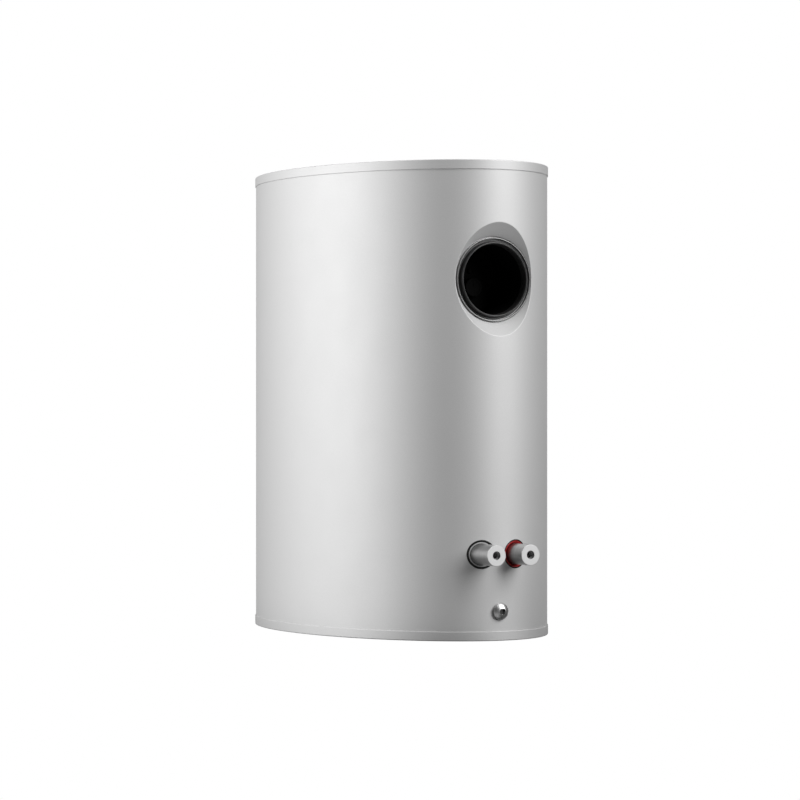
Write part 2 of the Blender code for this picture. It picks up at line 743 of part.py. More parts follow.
def make_thermostat():
    low, high = BODY_H
    mesh = box_mesh("thermostat_body", (-BODY_WIDE / 2, -high, BODY_Z[0]), (BODY_WIDE / 2, -low, BODY_Z[1]))
    body = add_part("thermostat_body", mesh, BLACK_PLASTIC)
    bevel(body, 0.0012, 1)
    boolean(body, rod_cutter("cut_body_spindle", KNOB, SPINDLE_R + 0.0005, BODY_HOLE_H, OUT_H, 16))
    boolean(body, rod_cutter("cut_body_button", BUTTON, BUTTON_R + 0.0005, BODY_HOLE_H, OUT_H, 16))
    half, back, front = TERMINAL_WIDE / 2, TERMINAL_H[0], TERMINAL_H[1]
    block = box_mesh("terminal_block", (-half, -front, BODY_Z[1] + GAP), (half, -back, TERMINAL_TOP_Z))
    bevel(add_part("terminal_block", block, GREY_PLASTIC), 0.0008, 1)


def make_head_cover():
    low, high = COVER_H
    inner = COVER_R - COVER_WALL
    points = [
        (0.0, high),
        (COVER_R - 0.0015, high),
        (COVER_R, high - 0.0015),
        (COVER_R, low),
        (inner, low),
        (inner, high - COVER_WALL),
        (0.0, high - COVER_WALL),
    ]
    cover = turned_part("head_cover", points, PORT, BLACK_PLASTIC, 28, closed=False)
    boolean(cover, rod_cutter("cut_cover_spindle", KNOB, SPINDLE_R + 0.0006, BODY_HOLE_H, OUT_H, 16))
    boolean(cover, rod_cutter("cut_cover_button", BUTTON, BUTTON_R + 0.0006, BODY_HOLE_H, OUT_H, 16))
    boolean(cover, rod_cutter("cut_cover_cable", CABLE_ENTRY, CABLE_HOLE_R, *CABLE_HOLE_Z, 16))
    for i, x in enumerate((-POST_X, POST_X), 1):
        frame = front_frame(x, PORT_Z)
        hole = rod_cutter(f"cut_post_{i}", frame, COVER_SCREW_R + GAP, POST_HOLE_H, OUT_H, 12)
        post = hex_part(f"cover_post_{i}", frame, POST_AF, FLANGE_TOP_H + GAP, high - COVER_WALL - GAP, ZINC)
        boolean(post, hole)
        boolean(cover, hole)
        top = high + GAP
        points = [
            (0.0, top + COVER_SCREW_HEAD_TALL),
            (COVER_SCREW_HEAD_R - 0.0010, top + COVER_SCREW_HEAD_TALL),
            (COVER_SCREW_HEAD_R, top + COVER_SCREW_HEAD_TALL - 0.0010),
            (COVER_SCREW_HEAD_R, top),
            (COVER_SCREW_R, top),
            (COVER_SCREW_R, top - COVER_SCREW_LONG),
            (0.0, top - COVER_SCREW_LONG),
        ]
        turned_part(f"cover_screw_{i}", points, frame, ZINC, 12, closed=False)


def make_controls():
    """The temperature knob on its spindle, and the reset button of the cut-out."""
    front = COVER_H[1] + GAP
    spindle_end = BODY_H[1] - 0.0060
    points = [
        (0.0, front + KNOB_TALL),
        (KNOB_R - 0.0020, front + KNOB_TALL),
        (KNOB_R - 0.0010, front + KNOB_TALL - 0.0010),
        (KNOB_R, front + 0.0020),
        (KNOB_R, front),
        (SPINDLE_R, front),
        (SPINDLE_R, spindle_end),
        (0.0, spindle_end),
    ]
    knob = turned_part("thermostat_knob", points, KNOB, BLACK_PLASTIC, closed=False)
    slot = box_mesh("cut_knob_slot", (-0.0008, 0.0012, front + KNOB_TALL - 0.0010), (0.0008, 0.0140, OUT_H))
    boolean(knob, add_cutter("cut_knob_slot", slot, KNOB))
    button = disc_points(BUTTON_R, *BUTTON_H, 0.0006)
    turned_part("reset_button", button, BUTTON, BLACK_PLASTIC, 16, closed=False)


# ---------------------------------------------------------------- pipes inside the tank
def make_inner_pipes():
    start = GAP - SOCKET_H[0]
    pipes = (("inlet_elbow", -STUB_X, -0.078, 0.062), ("outlet_riser", STUB_X, -0.045, 0.425))
    for name, x, turn_y, end_z in pipes:
        corners = [(x, start, STUB_Z), (x, turn_y, STUB_Z), (x, turn_y, end_z)]
        hollow_tube(name, rounded_route(corners, 0.0115, 5), INNER_PIPE_R, INNER_PIPE_WALL, COPPER)


# ---------------------------------------------------------------- cable entry at the far end
def make_gland():
    base = CASING_A + GAP
    top = base + GLAND_BODY_TALL
    body = hex_part("gland_body", GLAND, GLAND_AF, base, top, DARK_PLASTIC)
    thread = rod_cutter("join_gland", GLAND, GLAND_THREAD_R, GLAND_THREAD_END_Y, base + 0.002)
    boolean(body, thread, "UNION")
    boolean(body, rod_cutter("cut_gland_bore", GLAND, GLAND_BORE_R, WALL_H, OUT_H))

    low = top + GAP
    high = low + GLAND_NUT_TALL
    points = [
        (GLAND_NUT_R - 0.0048, high),
        (GLAND_NUT_R - 0.0018, high - 0.0030),
        (GLAND_NUT_R, high - 0.0070),
        (GLAND_NUT_R, low),
        (GLAND_BORE_R, low),
        (GLAND_BORE_R, high),
    ]
    turned_part("gland_nut", points, GLAND, DARK_PLASTIC)
    locknut = hex_part("gland_locknut", GLAND, LOCKNUT_AF, *LOCKNUT_Y, DARK_PLASTIC)
    boolean(locknut, rod_cutter("cut_locknut", GLAND, GLAND_THREAD_R + GAP, WALL_H, OUT_H))

    cable = tube_object("internal_cable", cable_route(), CABLE_R)
    cable.data.materials.append(BLACK_RUBBER)


# ---------------------------------------------------------------- insulation
def port_hollow(clear):
    """Outline of the recess dish and the sleeve together, with clearance."""
    well = PORT_HOLE_R + SLEEVE_WALL + clear
    wide = RECESS_WALL + clear
    cone_low = RECESS_FLOOR_H + (well - wide - RECESS_FLOOR_R) / RECESS_SLOPE
    return [
        (0.0, OUT_H),
        (recess_radius(OUT_H) + wide, OUT_H),
        (well, cone_low),
        (well, CORE_H),
        (0.0, CORE_H),
    ]


def stub_hollow(clear):
    """Outline of a grommet, its stub and the socket behind them, with clearance."""
    heights = (OUT_H, GROMMET_BACK_H - 0.001, SOCKET_H[1] + 0.001, CORE_H)
    points = [(0.0, OUT_H)]
    for radius, top, below in zip((GROMMET_R, STUB_R, SOCKET_R), heights, heights[1:]):
        points += [(radius + clear, top), (radius + clear, below)]
    return points + [(0.0, CORE_H)]


def foam_cutters():
    """Every hollow in the insulation, each with a small clearance round what fills it."""
    clear = 0.0006
    low, high = TANK_Z
    tank = add_cutter("cut_foam_tank", tank_mesh("cut_foam_tank", -clear, low - clear, high + clear))
    bevel(tank, TANK_ROUND, 2)
    return [
        tank,
        turned_cutter("cut_foam_port", port_hollow(clear), PORT, 28),
        turned_cutter("cut_foam_cold", stub_hollow(clear), COLD),
        turned_cutter("cut_foam_hot", stub_hollow(clear), HOT),
        rod_cutter("cut_foam_gland", GLAND, LOCKNUT_AF / math.sqrt(3) + 0.001, LOCKNUT_Y[0] - 0.006, OUT_H),
        rod_cutter("cut_foam_anode", ANODE, ANODE_SOCKET_R + 0.002, TANK_Z[1] - 0.01, HEIGHT + 0.01),
        tube_cutter("cut_foam_drain", drain_route(OUT_H), DRAIN_PIPE_R + clear),
        tube_cutter("cut_foam_cable", cable_route(), CABLE_R + clear),
    ]


def make_foam():
    """Two moulded halves that meet on the plane x = 0."""
    inset = CASING_SHEET + 0.0004
    low, high = PAN_SHEET + 0.0006, HEIGHT - PAN_SHEET - 0.0006
    cutters = foam_cutters()
    for name, side in (("foam_half_left", -1), ("foam_half_right", 1)):
        half = add_part(name, oval_mesh(name, inset, low, high), FOAM)
        inner, outer = sorted((side * GAP / 2, side * 0.2))
        keep = box_mesh(f"keep_{name}", (inner, -0.3, -0.1), (outer, 0.3, 0.6))
        boolean(half, add_cutter(f"keep_{name}", keep), "INTERSECT")
        for cutter in cutters:
            boolean(half, cutter)


make_casing()
make_caps()
make_recess()
make_port_rings()
make_sleeve()
make_stub("cold_stub", COLD)
make_stub("hot_stub", HOT)
make_stub_seals()
make_drain()
make_tank()
make_sockets()
make_anode()
make_flange()
make_element()
make_sensor()
make_thermostat()
make_head_cover()
make_controls()
make_inner_pipes()
make_gland()
make_foam()
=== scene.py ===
"""Looks of the oval storage water heater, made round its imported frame.

Metres, +Z up. The connection end faces -Y. Large sizes are read from the frame's boxes, and small
details are named here. A profile is a list of (radius, height, fillet) corners. The heights of what
stands at the connection end run outwards, along -Y.
"""

import json
import math

import bmesh
import bpy
from mathutils import Matrix, Vector


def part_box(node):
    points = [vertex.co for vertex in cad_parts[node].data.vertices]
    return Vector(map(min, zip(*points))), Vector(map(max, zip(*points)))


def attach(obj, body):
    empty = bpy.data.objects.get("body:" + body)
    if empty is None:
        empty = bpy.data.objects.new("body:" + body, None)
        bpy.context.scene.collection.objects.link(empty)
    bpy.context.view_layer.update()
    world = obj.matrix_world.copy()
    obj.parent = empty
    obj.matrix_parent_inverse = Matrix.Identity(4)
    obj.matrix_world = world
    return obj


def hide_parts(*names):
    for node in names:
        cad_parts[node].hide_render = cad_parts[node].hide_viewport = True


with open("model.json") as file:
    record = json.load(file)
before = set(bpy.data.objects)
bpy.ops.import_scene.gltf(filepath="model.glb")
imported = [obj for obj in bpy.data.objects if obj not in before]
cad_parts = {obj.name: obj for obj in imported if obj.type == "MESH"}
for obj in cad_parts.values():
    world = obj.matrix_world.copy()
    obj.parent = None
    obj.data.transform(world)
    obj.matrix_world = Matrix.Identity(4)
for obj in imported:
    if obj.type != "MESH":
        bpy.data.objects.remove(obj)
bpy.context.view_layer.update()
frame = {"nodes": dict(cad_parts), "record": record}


# ---------------------------------------------------------------- sizes read from the frame
def middle(node):
    low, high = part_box(node)
    return (low + high) / 2


CASING_LOW, CASING_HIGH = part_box("casing_wrap")
LID_LOW, LID_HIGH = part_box("top_lid")
PAN_LOW, PAN_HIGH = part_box("base_pan")
TRIM_LOW, TRIM_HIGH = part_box("trim_ring")
COLLAR_LOW, COLLAR_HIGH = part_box("port_collar")
SLEEVE_LOW, SLEEVE_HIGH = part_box("well_sleeve")
STUB_LOW, STUB_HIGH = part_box("hot_stub")
GROMMET_LOW, GROMMET_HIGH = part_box("hot_grommet")
SCREW_LOW, SCREW_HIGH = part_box("drain_screw")
SEAL_LOW, SEAL_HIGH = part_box("drain_seal")
GLAND_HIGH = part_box("gland_body")[1]
NUT_LOW, NUT_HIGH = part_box("gland_nut")
COVER_LOW, COVER_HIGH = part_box("head_cover")
KNOB_LOW, KNOB_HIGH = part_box("thermostat_knob")
BUTTON_LOW, BUTTON_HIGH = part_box("reset_button")

HALF_LONG = CASING_HIGH.y
HALF_WIDE = CASING_HIGH.x
PORT_Z = middle("port_collar").z
STUB_X = middle("hot_stub").x
STUB_Z = middle("hot_stub").z
DRAIN_Z = middle("drain_screw").z
GLAND_Z = middle("gland_body").z

# ---------------------------------------------------------------- details too fine for the boxes
SHEET = 0.0006
TINY = 1e-7  # a radius below this is a point on the axis

# Recess round the port
FLOOR_H = -TRIM_HIGH.y - 0.0003  # height of the recess's floor
FLOOR_R = TRIM_HIGH.x + 0.0010
RECESS_SLOPE = 1.03  # how far the cone widens for each metre it rises
EDGE_ROUND = 0.0004  # reach of the rounding where the cone meets the wall
GROOVE_DEEP = 0.0012  # groove in the floor that holds the trim ring
HOLE_R = COLLAR_HIGH.x - 0.0050  # the round well
TRIM_WIDE = 0.0014

# Pipe stubs
STUB_R = (STUB_HIGH.x - STUB_LOW.x) / 2
STUB_MOUTH_R = 0.0042
STUB_MOUTH_DEEP = 0.0032
STUB_BORE_R = 0.0033
GROMMET_R = (GROMMET_HIGH.x - GROMMET_LOW.x) / 2
RED_RING_OUT = 0.0136
GREY_RING_OUT = 0.0126
RED_RING_LAND = 0.0011  # flat outer border of the coloured ring
GREY_RING_LAND = 0.0014

# Drain screw
HEX_SOCKET = 0.0060  # across the flats
SOCKET_DEEP = 0.0028
SHANK_R = 0.0049
THREAD_PITCH = 0.0015
THREAD_DEEP = 0.0007
BROW = 0.0010  # straight side under the dome
DRAIN_HOLE_R = 0.0056

# Cable gland
GLAND_FLATS = 0.0240
GLAND_BORE = 0.0048
GLAND_HOLE_R = 0.0102

# Controls
COVER_WALL = 0.0015
COVER_HOLE_R = 0.0034
KNOB_SPINDLE_R = 0.0028
KNOB_FLUTES = 18
FLUTE_DEEP = 0.0005

# The wall's grid, and the half sizes of its patches, each of which is opened for a hole
COLUMNS_ROUND = 220
FINE_ROW = 0.0030
MIDDLE_ROW = 0.015
UPPER_ROW = 0.010
PORT_PATCH = 0.0660
STUB_PATCH_X = 2 * STUB_X
STUB_PATCH_Z = 0.0200
DRAIN_PATCH = 0.0100
GLAND_PATCH = 0.0206

# Painted shadows: dark patches on the floor
CONTACT_SHADE = 0.018  # reach round the base
CAST_SHADE_R = 0.085
CAST_SHADE_AT = (0.075, -0.275)  # in front of the connection end, towards +X


# ---------------------------------------------------------------- materials
class Finish:
    """A procedural material: a Principled shader with noise-driven colour, roughness and bump."""

    def __init__(self, name, metallic, roughness, specular=0.5):
        self.material = bpy.data.materials.new(name)
        self.material.use_nodes = True
        self.tree = self.material.node_tree
        self.shader = self.tree.nodes["Principled BSDF"]
        self.shader.inputs["Metallic"].default_value = metallic
        self.shader.inputs["Roughness"].default_value = roughness
        self.shader.inputs["Specular IOR Level"].default_value = specular
        coordinates = self.tree.nodes.new("ShaderNodeTexCoord")
        self.place = coordinates.outputs["Object"]
        self.normal = coordinates.outputs["Normal"]

    def node(self, kind, **values):
        made = self.tree.nodes.new(kind)
        for key, value in values.items():
            made.inputs[key.replace("_", " ")].default_value = value
        return made

    def link(self, source, target):
        self.tree.links.new(source, target)

    def stretched(self, stretch):
        mapping = self.node("ShaderNodeMapping", Scale=stretch)
        self.link(self.place, mapping.inputs["Vector"])
        return mapping.outputs["Vector"]

    def noise(self, scale, detail=3.0, stretch=(1.0, 1.0, 1.0)):
        made = self.node("ShaderNodeTexNoise", Scale=scale, Detail=detail)
        self.link(self.stretched(stretch), made.inputs["Vector"])
        return made.outputs["Fac"]

    def share(self, value, zero_at, one_at):
        """0 where the value is zero_at, growing to 1 where it is one_at."""
        span = self.node("ShaderNodeMapRange", From_Min=zero_at, From_Max=one_at)
        self.link(value, span.inputs["Value"])
        return span.outputs["Result"]

    def vector(self, operation, source, other=(0.0, 0.0, 0.0)):
        made = self.tree.nodes.new("ShaderNodeVectorMath")
        made.operation = operation
        self.link(source, made.inputs[0])
        made.inputs[1].default_value = other
        return made

    def near_axis(self, across, radius):
        """1 within that radius of an axis along Y. across is the place measured from the axis."""
        flat = self.vector("MULTIPLY", across, (1.0, 0.0, 1.0)).outputs["Vector"]
        reach = self.vector("LENGTH", flat).outputs["Value"]
        return self.share(reach, radius + 0.0002, radius)

    def over(self, target, mask, value):
        """Where the mask is 1, the input takes this value, or this grey, over what drives it."""
        mix = self.tree.nodes.new("ShaderNodeMixRGB")
        socket = self.shader.inputs[target]
        self.link(mask, mix.inputs["Fac"])
        self.link(socket.links[0].from_socket, mix.inputs["Color1"])
        mix.inputs["Color2"].default_value = (*grey(value), 1.0)
        self.link(mix.outputs["Color"], socket)

    def colours(self, factor, dark, light, low=0.3, high=0.7):
        ramp = self.tree.nodes.new("ShaderNodeValToRGB")
        ramp.color_ramp.elements[0].position = low
        ramp.color_ramp.elements[1].position = high
        ramp.color_ramp.elements[0].color = (*dark, 1.0)
        ramp.color_ramp.elements[1].color = (*light, 1.0)
        self.link(factor, ramp.inputs["Fac"])
        self.link(ramp.outputs["Color"], self.shader.inputs["Base Color"])

    def roughness(self, factor, low, high):
        span = self.node("ShaderNodeMapRange", To_Min=low, To_Max=high)
        self.link(factor, span.inputs["Value"])
        self.link(span.outputs["Result"], self.shader.inputs["Roughness"])

    def bump(self, factor, strength, distance):
        made = self.node("ShaderNodeBump", Strength=strength, Distance=distance)
        self.link(factor, made.inputs["Height"])
        self.link(made.outputs["Normal"], self.shader.inputs["Normal"])


def grey(value):
    return (value, value, value)


def silver_paint():
    """Satin metallic lacquer: fine flake in the colour, a little orange peel in the gloss."""
    made = Finish("silver_paint", 0.88, 0.71)
    flake = made.noise(2600.0, 2.0)
    made.colours(flake, grey(0.70), grey(0.76))
    made.roughness(made.noise(30.0, 4.0), 0.69, 0.73)
    made.bump(made.noise(1500.0, 2.0), 0.05, 0.00003)
    return made.material


def stub_metal():
    """Nickel-plated tube: the lathe's fine rings along its side, a matt faced end painted lighter than
    the sides as a painted highlight, and a bore painted darker as painted shade.
    """
    made = Finish("stub_metal", 1.0, 0.32)
    rings = made.noise(1.0, 2.0, stretch=(60.0, 3200.0, 60.0))
    made.colours(rings, grey(0.40), grey(0.52))
    made.roughness(made.noise(420.0, 3.0), 0.28, 0.38)
    made.bump(rings, 0.15, 0.00004)
    # painted highlight: the end that faces -Y, towards the lamps, takes a lighter colour than the sides;
    # its matt roughness is the end's own finish
    facing = made.node("ShaderNodeSeparateXYZ")
    made.link(made.normal, facing.inputs["Vector"])
    end = made.share(facing.outputs["Y"], -0.30, -0.75)
    made.over("Base Color", end, 0.82)
    made.over("Roughness", end, 0.72)
    # painted shade: inside the mouth and bore the colour drops to 0.50, darker than the end round it
    across = made.vector("ABSOLUTE", made.place).outputs["Vector"]  # both stubs at once
    across = made.vector("SUBTRACT", across, (STUB_X, 0.0, STUB_Z)).outputs["Vector"]
    bore = made.near_axis(across, STUB_MOUTH_R)
    made.over("Base Color", bore, 0.50)
    made.over("Roughness", bore, 0.75)
    return made.material


def polished(name, light, rough):
    made = Finish(name, 1.0, rough)
    made.colours(made.noise(160.0, 4.0), grey(light * 0.93), grey(light))
    made.roughness(made.noise(700.0, 3.0), rough * 0.7, rough * 1.5)
    made.bump(made.noise(900.0, 2.0), 0.04, 0.00002)
    return made.material


def screw_steel():
    """Tumbled steel, with painted shade down in the hex socket."""
    made = Finish("screw_steel", 1.0, 0.40)
    made.colours(made.noise(260.0, 4.0), grey(0.70), grey(0.78))
    made.roughness(made.noise(700.0, 3.0), 0.34, 0.44)
    made.bump(made.noise(900.0, 2.0), 0.04, 0.00002)
    across = made.vector("SUBTRACT", made.place, (0.0, 0.0, DRAIN_Z)).outputs["Vector"]
    # painted shade: the hex socket's colour drops to 0.10
    made.over("Base Color", made.near_axis(across, HEX_SOCKET / 2), 0.10)
    return made.material


def plastic(name, dark, light, rough, specular=0.5, metallic=0.0):
    """Moulded plastic with a fine even grain, and metal flake in it if metallic is over 0."""
    made = Finish(name, metallic, rough, specular)
    made.colours(made.noise(240.0, 3.0), dark, light)
    made.roughness(made.noise(900.0, 2.0), rough - 0.05, rough + 0.05)
    made.bump(made.noise(3500.0, 2.0), 0.1, 0.00005)
    return made.material


def rubber(name, tone):
    made = Finish(name, 0.0, 0.6, 0.35)
    made.colours(made.noise(500.0, 4.0), grey(tone * 0.7), grey(tone * 1.3))
    made.roughness(made.noise(800.0, 3.0), 0.5, 0.72)
    made.bump(made.noise(2200.0, 3.0), 0.18, 0.00006)
    return made.material


def bare_metal(name, dark, light, rough):
    made = Finish(name, 1.0, rough)
    made.colours(made.noise(55.0, 5.0), dark, light)
    made.roughness(made.noise(180.0, 4.0), rough - 0.1, rough + 0.12)
    made.bump(made.noise(1200.0, 3.0), 0.1, 0.00005)
    return made.material


def enamel():
    made = Finish("enamelled_steel", 0.0, 0.22, 0.6)
    made.colours(made.noise(320.0, 5.0), (0.030, 0.050, 0.095), (0.055, 0.085, 0.150))
    made.roughness(made.noise(45.0, 3.0), 0.16, 0.30)
    made.bump(made.noise(90.0, 3.0), 0.15, 0.0003)
    return made.material


def foam():
    """Expanded foam: beads a few millimetres across, pressed together."""
    made = Finish("insulation_foam", 0.0, 0.9, 0.2)
    beads = made.node("ShaderNodeTexVoronoi", Scale=320.0)
    made.link(made.place, beads.inputs["Vector"])
    made.colours(beads.outputs["Distance"], (0.88, 0.86, 0.79), (0.72, 0.70, 0.62), 0.1, 0.8)
    made.bump(beads.outputs["Distance"], 0.5, 0.0004)
    return made.material


MATERIALS = {
    "silver_paint": silver_paint(),
    "polished_steel": polished("polished_steel", 0.78, 0.20),
    "screw_steel": screw_steel(),
    "satin_steel": polished("satin_steel", 0.30, 0.40),
    "stub_metal": stub_metal(),
    "collar_plastic": plastic("collar_plastic", grey(0.022), grey(0.030), 0.38),
    # painted shade: this black plastic, used down the well, is darkened to near zero with little
    # specular, to stand for the shade in the deep well; the lit lip uses collar_plastic
    "black_plastic": plastic("black_plastic", grey(0.0012), grey(0.0018), 0.75, 0.08),
    "gland_plastic": plastic("gland_plastic", grey(0.018), grey(0.026), 0.5),
    "black_rubber": rubber("black_rubber", 0.010),
    "grey_plastic": plastic("grey_plastic", grey(0.80), grey(0.86), 0.60, metallic=0.6),
    "red_plastic": plastic("red_plastic", (0.42, 0.018, 0.020), (0.48, 0.024, 0.026), 0.38),
    "blackened_steel": polished("blackened_steel", 0.02, 0.6),
    "enamelled_steel": enamel(),
    "zinc_steel": bare_metal("zinc_steel", (0.46, 0.47, 0.49), (0.60, 0.61, 0.62), 0.38),
    "copper": bare_metal("copper", (0.55, 0.25, 0.14), (0.72, 0.38, 0.24), 0.35),
    "brass": bare_metal("brass", (0.52, 0.36, 0.14), (0.66, 0.48, 0.22), 0.33),
    "magnesium": bare_metal("magnesium", grey(0.40), grey(0.54), 0.55),
    "foam": foam(),
}


# ---------------------------------------------------------------- mesh helpers
def finish_mesh(name, work, slot, body, replaced=(), sharp=30.0):
    """Makes the piece from a bmesh, shades it, and seats it in the frame."""
    mesh = bpy.data.meshes.new(name)
    bmesh.ops.recalc_face_normals(work, faces=work.faces)
    work.to_mesh(mesh)
    work.free()
    mesh.shade_smooth()
    mesh.set_sharp_from_angle(angle=math.radians(sharp))
    return seat(bpy.data.objects.new(name, mesh), slot, body, replaced)


def seat(piece, slot, body, replaced=()):
    bpy.context.scene.collection.objects.link(piece)
    piece.data.materials.append(MATERIALS[slot])
    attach(piece, body)
    if replaced:
        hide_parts(*replaced)
    return piece


def even_normals(piece):
    """Keeps flat faces flat beside their rounded edges."""
    modifier = piece.modifiers.new("even_normals", "WEIGHTED_NORMAL")
    modifier.keep_sharp = True
    modifier.weight = 80


def rounded(profile, closed=True, steps=5):
    """The (radius, height) points of a profile, with each fillet an arc."""
    made = []
    count = len(profile)
    for i, (r, h, fillet) in enumerate(profile):
        corner = Vector((r, h))
        if not fillet or (not closed and i in (0, count - 1)):
            made.append((r, h))
            continue
        before = Vector(profile[i - 1][:2]) - corner
        after = Vector(profile[(i + 1) % count][:2]) - corner
        before.normalize()
        after.normalize()
        half = before.angle(after) / 2
        run = fillet / math.tan(half)
        centre = corner + (before + after).normalized() * (fillet / math.sin(half))
        start = corner + before * run - centre
        end = corner + after * run - centre
        turn = start.angle_signed(end)
        for k in range(steps + 1):
            arm = Matrix.Rotation(-turn * k / steps, 2) @ start
            made.append(tuple(centre + arm))
    return made


def spoke(radius, height, k, steps):
    angle = math.tau * k / steps
    return Vector((radius * math.cos(angle), radius * math.sin(angle), height))


def join(work, pairs):
    """Faces between each pair of rings. A ring that is one point repeated gets triangles."""
    for upper, lower in pairs:
        count = len(upper)
        for k in range(count):
            after = (k + 1) % count
            face = list(dict.fromkeys((upper[k], upper[after], lower[after], lower[k])))
            if len(face) > 2:
                work.faces.new(face)


def turned(name, profile, place, slot, body, replaced=(), closed=True, steps=96, arc=5):
    """A turned piece: its profile swept round the local +Z of place."""
    work = bmesh.new()
    rings = []
    for r, h in rounded(profile, closed, arc):
        if r < TINY:
            rings.append([work.verts.new(place @ Vector((0.0, 0.0, h)))] * steps)
            continue
        rings.append([work.verts.new(place @ spoke(r, h, k, steps)) for k in range(steps)])
    pairs = list(zip(rings, rings[1:]))
    if closed:
        pairs.append((rings[-1], rings[0]))
    join(work, pairs)
    piece = finish_mesh(name, work, slot, body, replaced)
    even_normals(piece)
    return piece


def cut(piece, tool):
    """Cuts the tool, a bmesh, out of the piece's own mesh. The piece's other modifiers stay."""
    mesh = bpy.data.meshes.new("cutter")
    tool.to_mesh(mesh)
    tool.free()
    cutter = bpy.data.objects.new("cutter", mesh)
    bpy.context.scene.collection.objects.link(cutter)
    modifier = piece.modifiers.new("cut", "BOOLEAN")
    modifier.operation = "DIFFERENCE"
    modifier.object = cutter
    while piece.modifiers[0] != modifier:
        with bpy.context.temp_override(object=piece):
            bpy.ops.object.modifier_move_up(modifier=modifier.name)
    bpy.context.view_layer.update()
    graph = bpy.context.evaluated_depsgraph_get()
    others = [m for m in piece.modifiers if m != modifier]
    for other in others:
        other.show_viewport = False
    graph.update()
    baked = bpy.data.meshes.new_from_object(piece.evaluated_get(graph))
    piece.modifiers.remove(modifier)
    for other in others:
        other.show_viewport = True
    piece.data = baked
    baked.set_sharp_from_angle(angle=math.radians(30.0))
    bpy.data.objects.remove(cutter)


def front_place(x, z):
    """Local +Z points out of the connection end, along -Y, and local +Y up."""
    return Matrix.Translation((x, 0.0, z)) @ Matrix.Rotation(math.radians(90), 4, "X")


def rear_place(x, z):
    """Local +Z points out of the far end, along +Y."""
    return Matrix.Translation((x, 0.0, z)) @ Matrix.Rotation(math.radians(-90), 4, "X")


def prism(place, radius, low, high, sides, twist=0.0):
    """A bmesh prism along the local +Z of place. radius goes to its corners."""
    work = bmesh.new()
    bmesh.ops.create_cone(
        work, cap_ends=True, segments=sides, radius1=radius, radius2=radius, depth=high - low
    )
    lift = Matrix.Translation((0.0, 0.0, (low + high) / 2))
    turn = Matrix.Rotation(twist, 4, "Z")
    bmesh.ops.transform(work, matrix=place @ lift @ turn, verts=work.verts)
    return work


# ---------------------------------------------------------------- the oval
def wall_height(x):
    """How far the casing's outside stands from the middle plane, at that x."""
    return HALF_LONG * math.sqrt(max(0.0, 1.0 - (x / HALF_WIDE) ** 2))


def wall_point(t, z, proud=0.0):
    """Point on the oval at parameter t, which is 0 at the connection end and grows towards +X."""
    return Vector(((HALF_WIDE + proud) * math.sin(t), -(HALF_LONG + proud) * math.cos(t), z))


def wall_normal(t):
    return Vector((math.sin(t) / HALF_WIDE, -math.cos(t) / HALF_LONG, 0.0)).normalized()


def filled(stops, spacing):
    """The stops with evenly spaced values added between them."""
    made = [stops[0]]
    for low, high in zip(stops, stops[1:]):
        count = max(1, math.ceil((high - low) / spacing - 1e-6))
        made += [low + (high - low) * k / count for k in range(1, count + 1)]
    return made


def oval_columns():
    """Parameters of the casing's columns, from one flank round to it again."""
    front = [math.asin(x / HALF_WIDE) for x in (DRAIN_PATCH, STUB_PATCH_X, PORT_PATCH)]
    back = math.asin(GLAND_PATCH / HALF_WIDE)
    stops = [-math.pi / 2, *(-t for t in reversed(front)), 0.0, *front, math.pi / 2]
    stops += [math.pi - back, math.pi + back, 1.5 * math.pi]
    return filled(stops, math.tau / COLUMNS_ROUND)[:-1]


COLUMNS = oval_columns()


def oval_rings(name, profile, slot, replaced):
    """A piece swept round the oval from (proud, height) points, with its first and last ring filled."""
    work = bmesh.new()
    rings = [[work.verts.new(wall_point(t, z, proud)) for t in COLUMNS] for proud, z in profile]
    join(work, zip(rings, rings[1:]))
    for ring in (rings[0], rings[-1]):
        work.faces.new(ring)
    piece = finish_mesh(name, work, slot, "heater", replaced)
    even_normals(piece)


# ---------------------------------------------------------------- casing jacket
def recess_edge(angle):
    """(radius, height) where the recess's cone meets the wall, at that angle round the port."""
    radius = FLOOR_R
    for _ in range(60):  # half of the way each time, so that it settles
        target = FLOOR_R + (wall_height(radius * math.cos(angle)) - FLOOR_H) * RECESS_SLOPE
        radius += 0.5 * (target - radius)
    return radius, wall_height(radius * math.cos(angle))


def wall_run(angle, run):
    """How far out from the port's axis a step of that length along the wall goes."""
    edge_r, edge_h = recess_edge(angle)
    ahead = wall_height((edge_r + 1e-4) * math.cos(angle))
    fall = (ahead - edge_h) / 1e-4
    return run / math.sqrt(1 + fall * fall)


def round_run(slope_length):
    """Reach of the edge's rounding, held short where the cone is."""
    return min(EDGE_ROUND, 0.45 * slope_length)


